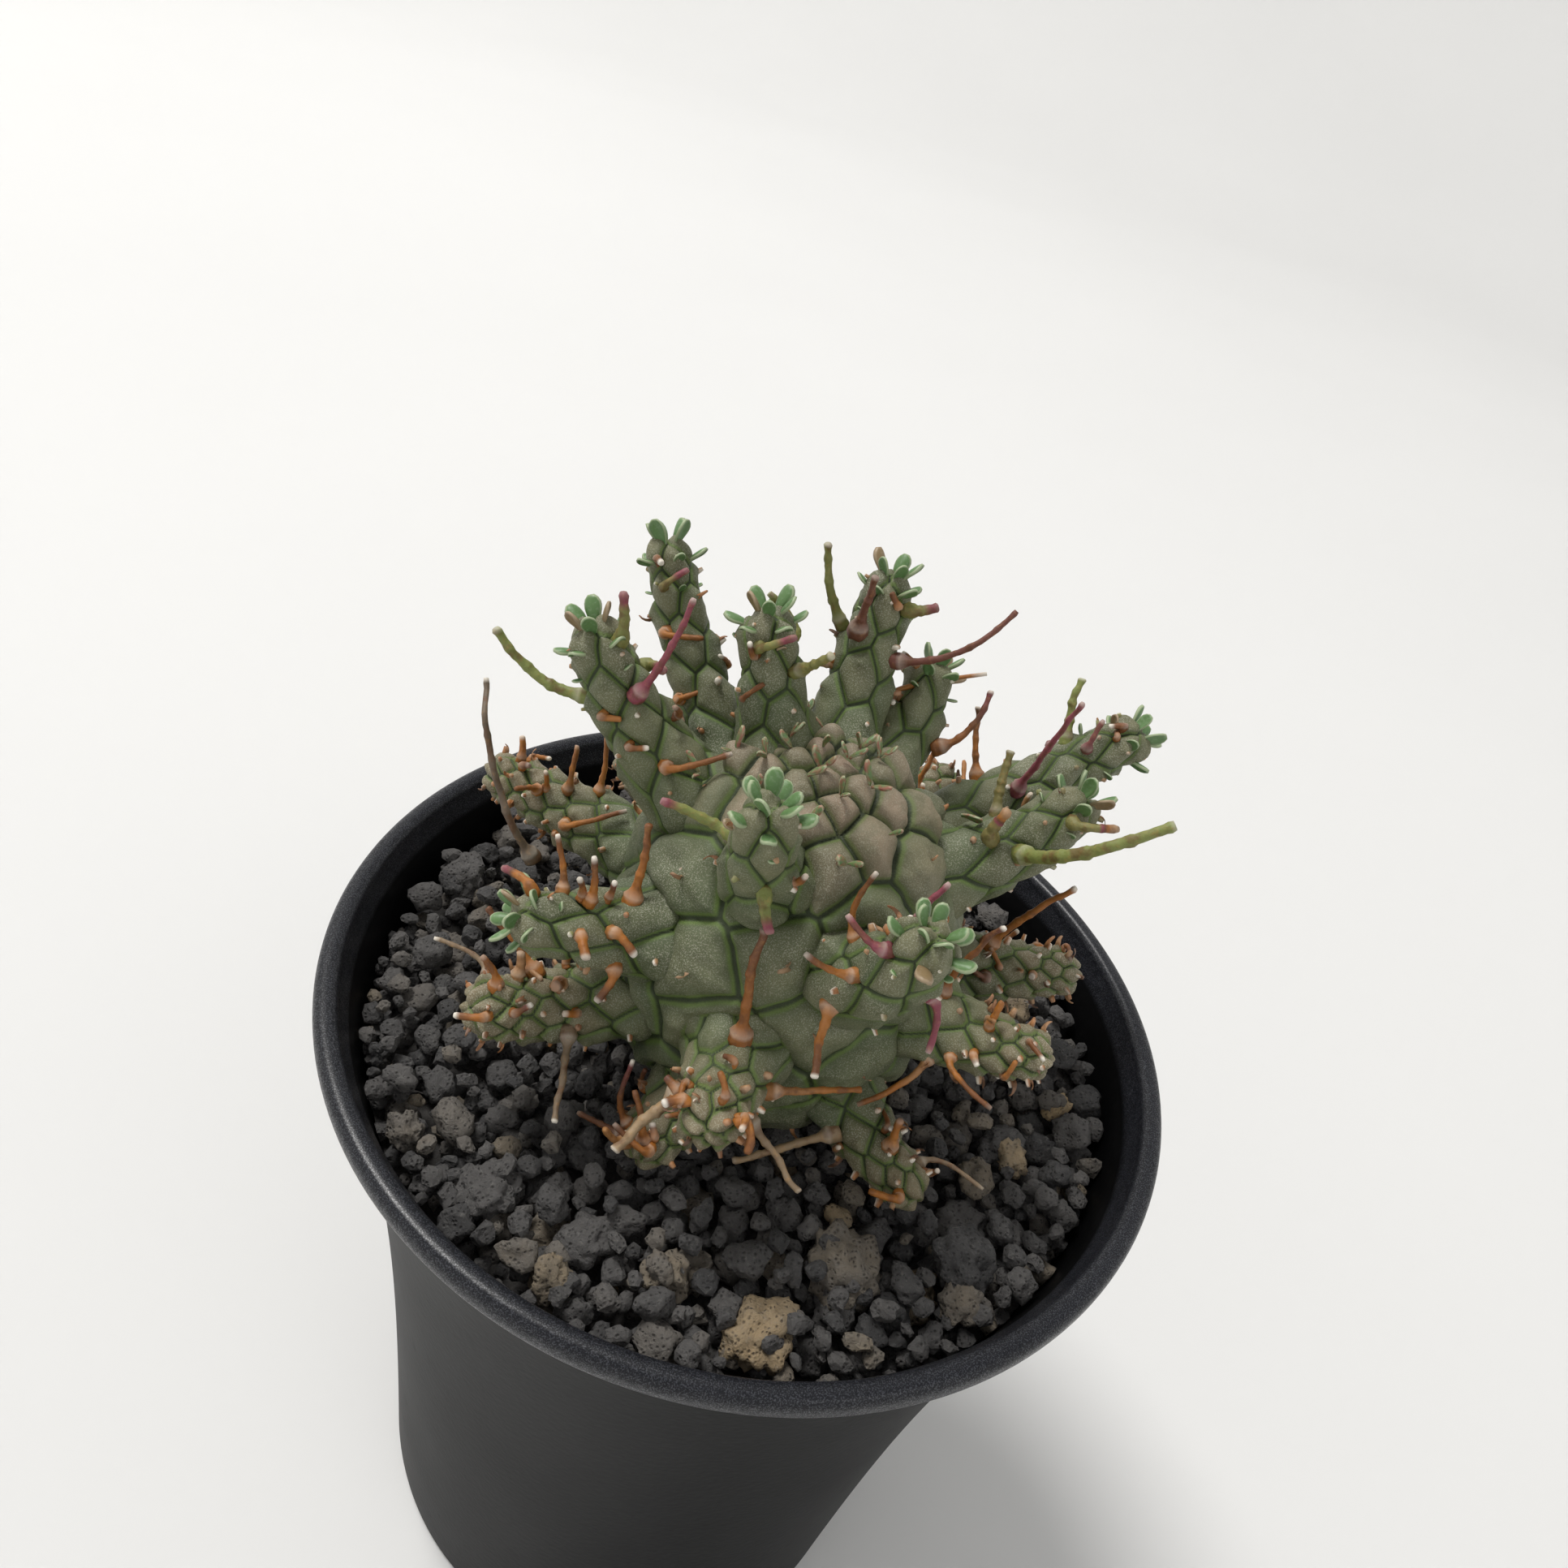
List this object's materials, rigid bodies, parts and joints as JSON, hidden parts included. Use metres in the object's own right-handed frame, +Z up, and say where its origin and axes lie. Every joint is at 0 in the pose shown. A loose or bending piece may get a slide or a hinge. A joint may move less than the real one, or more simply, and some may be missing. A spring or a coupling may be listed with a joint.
{
  "type": "potted euphorbia",
  "caption": "Small succulent with a round tubercled caudex, short radiating arms, leaf tufts and dry flower stalks, in a flared black nursery pot topped with gravel.",
  "frame": {"origin": "centre of the pot's underside, on the surface that it stands on", "axes": "+Z up the pot; -Y towards the viewer, on the side with the low front arm; +X to the viewer's right"},
  "size_m": [0.108, 0.108, 0.169],
  "materials": {
    "pot": "black moulded plastic, satin with a fine orange-peel grain on the lip",
    "potting_mix": "dark brown crumbly potting mix",
    "gravel": "rough porous volcanic gravel, charcoal grey with some brown and tan stones",
    "skin": "waxy grey-green succulent skin with fine pale specks and dark seams between tubercles",
    "leaf": "small fleshy green leaves with pale edges",
    "stalk_green": "living green flower stalk",
    "stalk_woody": "dry orange-brown to dark flower stalk with pale scars"
  },
  "bodies": {
    "root": {"pot": "pot", "potting_mix": "potting_mix", "gravel": "gravel", "caudex": "skin", "arm_back_centre": "skin", "arm_back_left": "skin", "arm_back_right": "skin", "arm_far_back": "skin", "arm_far_left": "skin", "arm_far_low": "skin", "arm_far_right": "skin", "arm_front_crown": "skin", "arm_front_low": "skin", "arm_front_right": "skin", "arm_front_right_low": "skin", "arm_left_back": "skin", "arm_left_bottom": "skin", "arm_left_low": "skin", "arm_left_mid": "skin", "arm_left_upper": "skin", "arm_right_back": "skin", "arm_right_low": "skin", "arm_right_low_back": "skin", "arm_right_mid": "skin", "arm_right_upper": "skin", "leaves_back_centre": "leaf", "leaves_back_left": "leaf", "leaves_back_right": "leaf", "leaves_front_crown": "leaf", "leaves_front_right": "leaf", "leaves_left_mid": "leaf", "leaves_left_upper": "leaf", "leaves_right_back": "leaf", "leaves_right_mid": "leaf", "leaves_right_upper": "leaf", "stalk_back_centre_1": "stalk_green", "stalk_back_right_1": "stalk_green", "stalk_back_right_2": "stalk_woody", "stalk_back_right_3": "stalk_woody", "stalk_front_low_1": "stalk_woody", "stalk_front_low_2": "stalk_woody", "stalk_front_low_3": "stalk_woody", "stalk_front_low_4": "stalk_woody", "stalk_front_right_1": "stalk_woody", "stalk_front_right_low_1": "stalk_woody", "stalk_left_back_1": "stalk_woody", "stalk_left_low_1": "stalk_woody", "stalk_left_low_2": "stalk_woody", "stalk_left_mid_1": "stalk_woody", "stalk_left_upper_1": "stalk_green", "stalk_left_upper_2": "stalk_woody", "stalk_right_back_1": "stalk_woody", "stalk_right_back_2": "stalk_woody", "stalk_right_back_3": "stalk_green", "stalk_right_low_1": "stalk_woody", "stalk_right_low_back_1": "stalk_woody", "stalk_right_mid_1": "stalk_green", "stalk_right_mid_2": "stalk_green", "stalk_right_upper_1": "stalk_woody"}
  },
  "joints": []
}
